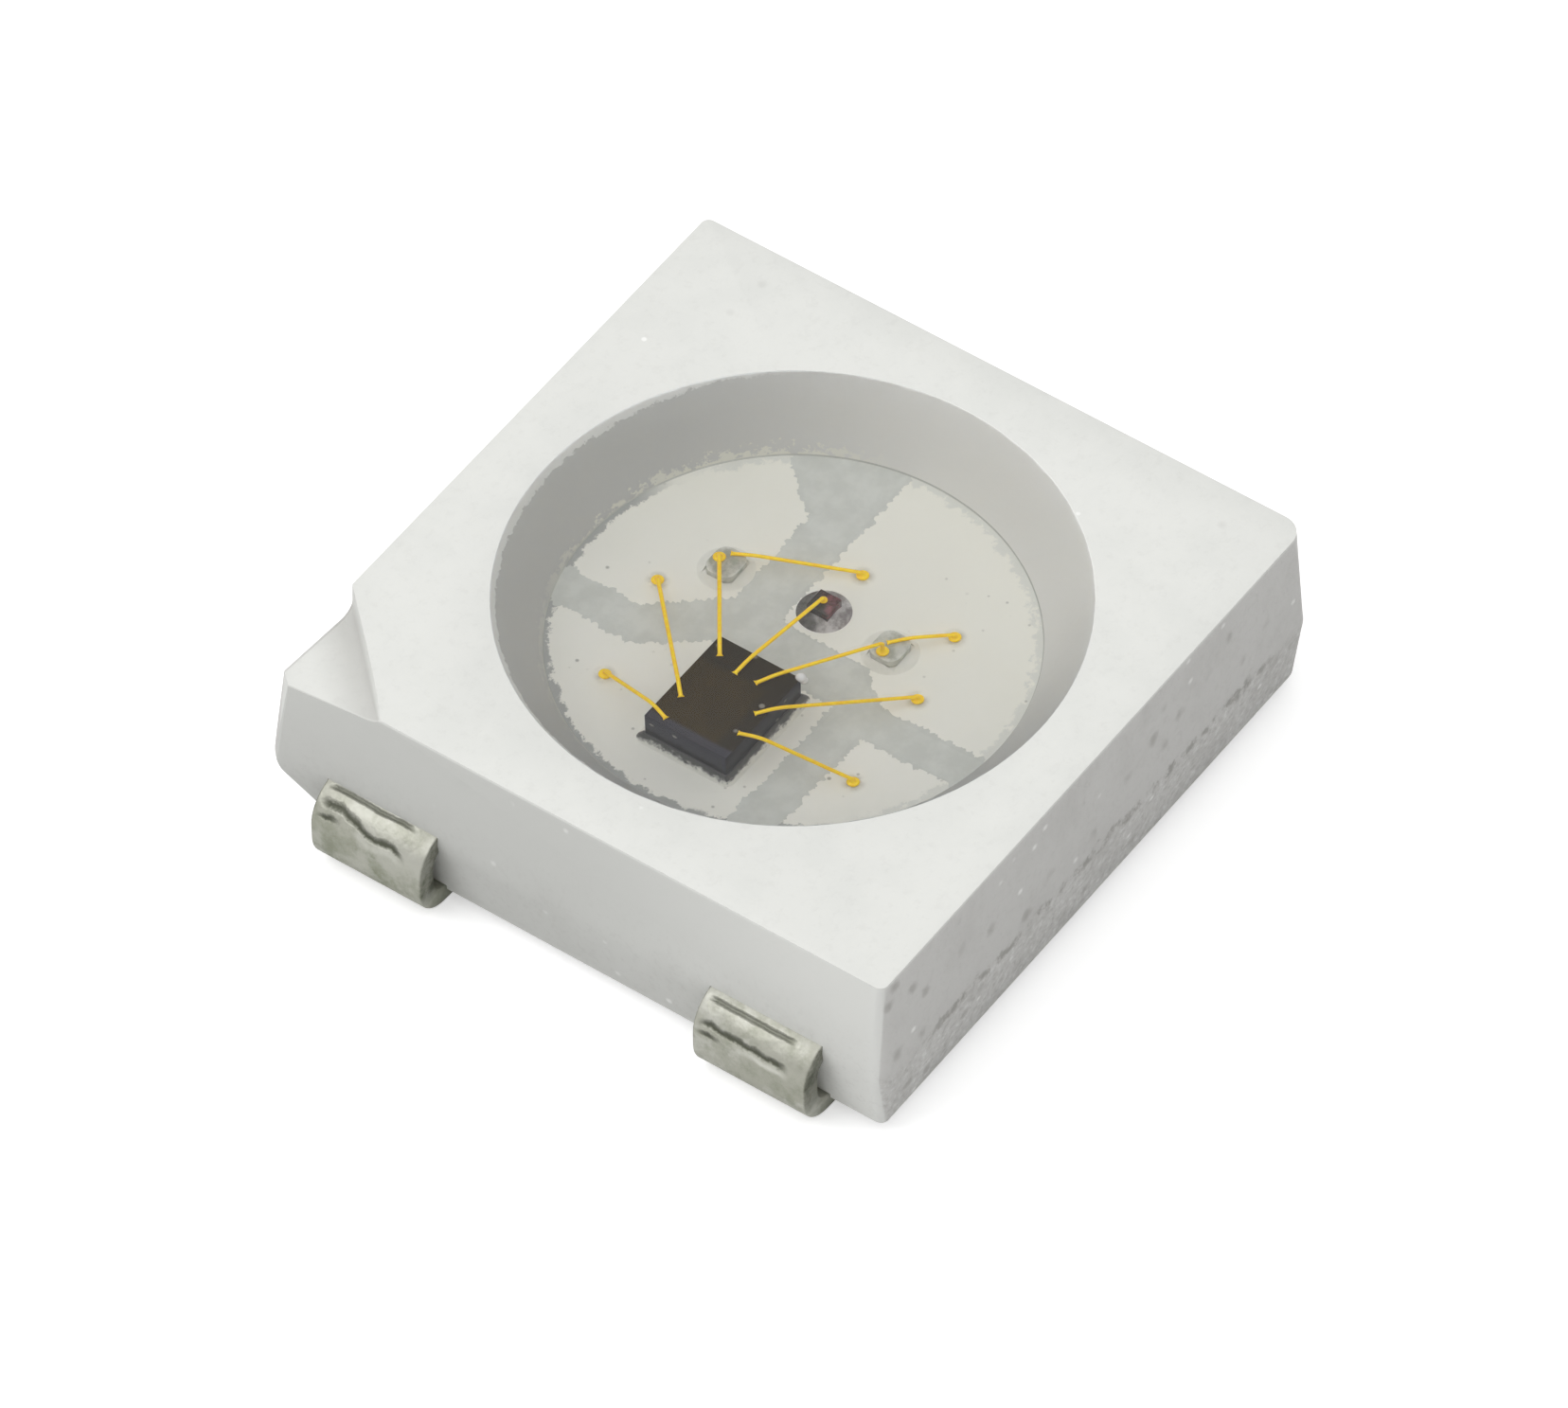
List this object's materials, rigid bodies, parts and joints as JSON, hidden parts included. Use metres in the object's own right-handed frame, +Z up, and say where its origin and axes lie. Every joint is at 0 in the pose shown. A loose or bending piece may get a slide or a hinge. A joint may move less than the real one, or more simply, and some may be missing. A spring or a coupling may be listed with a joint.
{
  "type": "smd led",
  "caption": "Small square surface-mount colour light with a white cup housing, four bent leads, a driver chip, three light chips and nine bond wires under clear filling.",
  "frame": {"origin": "middle of the footprint on the plane that the lead feet stand on", "axes": "+Z up out of the cup, +X across the leads away from the marked side, +Y along the sides that carry the leads, towards the marked corner"},
  "size_m": [0.0054, 0.005, 0.0015],
  "materials": {
    "housing": "fine moulded, matt",
    "lead": "bright silver plating",
    "driver_chip": "dark polished silicon",
    "red_chip": "dark red, glossy",
    "green_chip": "pale, glossy",
    "blue_chip": "pale, glossy",
    "driver_chip_glue": "cured adhesive",
    "red_chip_glue": "silver-filled adhesive, dull",
    "green_chip_glue": "cured adhesive, clear",
    "blue_chip_glue": "cured adhesive, clear",
    "bond_wire": "bright gold",
    "encapsulant": "clear filling"
  },
  "bodies": {
    "root": {"housing": "housing", "lead_vdd": "lead", "lead_dout": "lead", "lead_vss": "lead", "lead_din": "lead", "driver_chip": "driver_chip", "red_chip": "red_chip", "green_chip": "green_chip", "blue_chip": "blue_chip", "driver_chip_glue": "driver_chip_glue", "red_chip_glue": "red_chip_glue", "green_chip_glue": "green_chip_glue", "blue_chip_glue": "blue_chip_glue", "wire_vss": "bond_wire", "wire_dout": "bond_wire", "wire_green_drive": "bond_wire", "wire_green_supply": "bond_wire", "wire_red_drive": "bond_wire", "wire_blue_drive": "bond_wire", "wire_blue_supply": "bond_wire", "wire_vdd": "bond_wire", "wire_din": "bond_wire", "encapsulant": "encapsulant"}
  },
  "joints": []
}
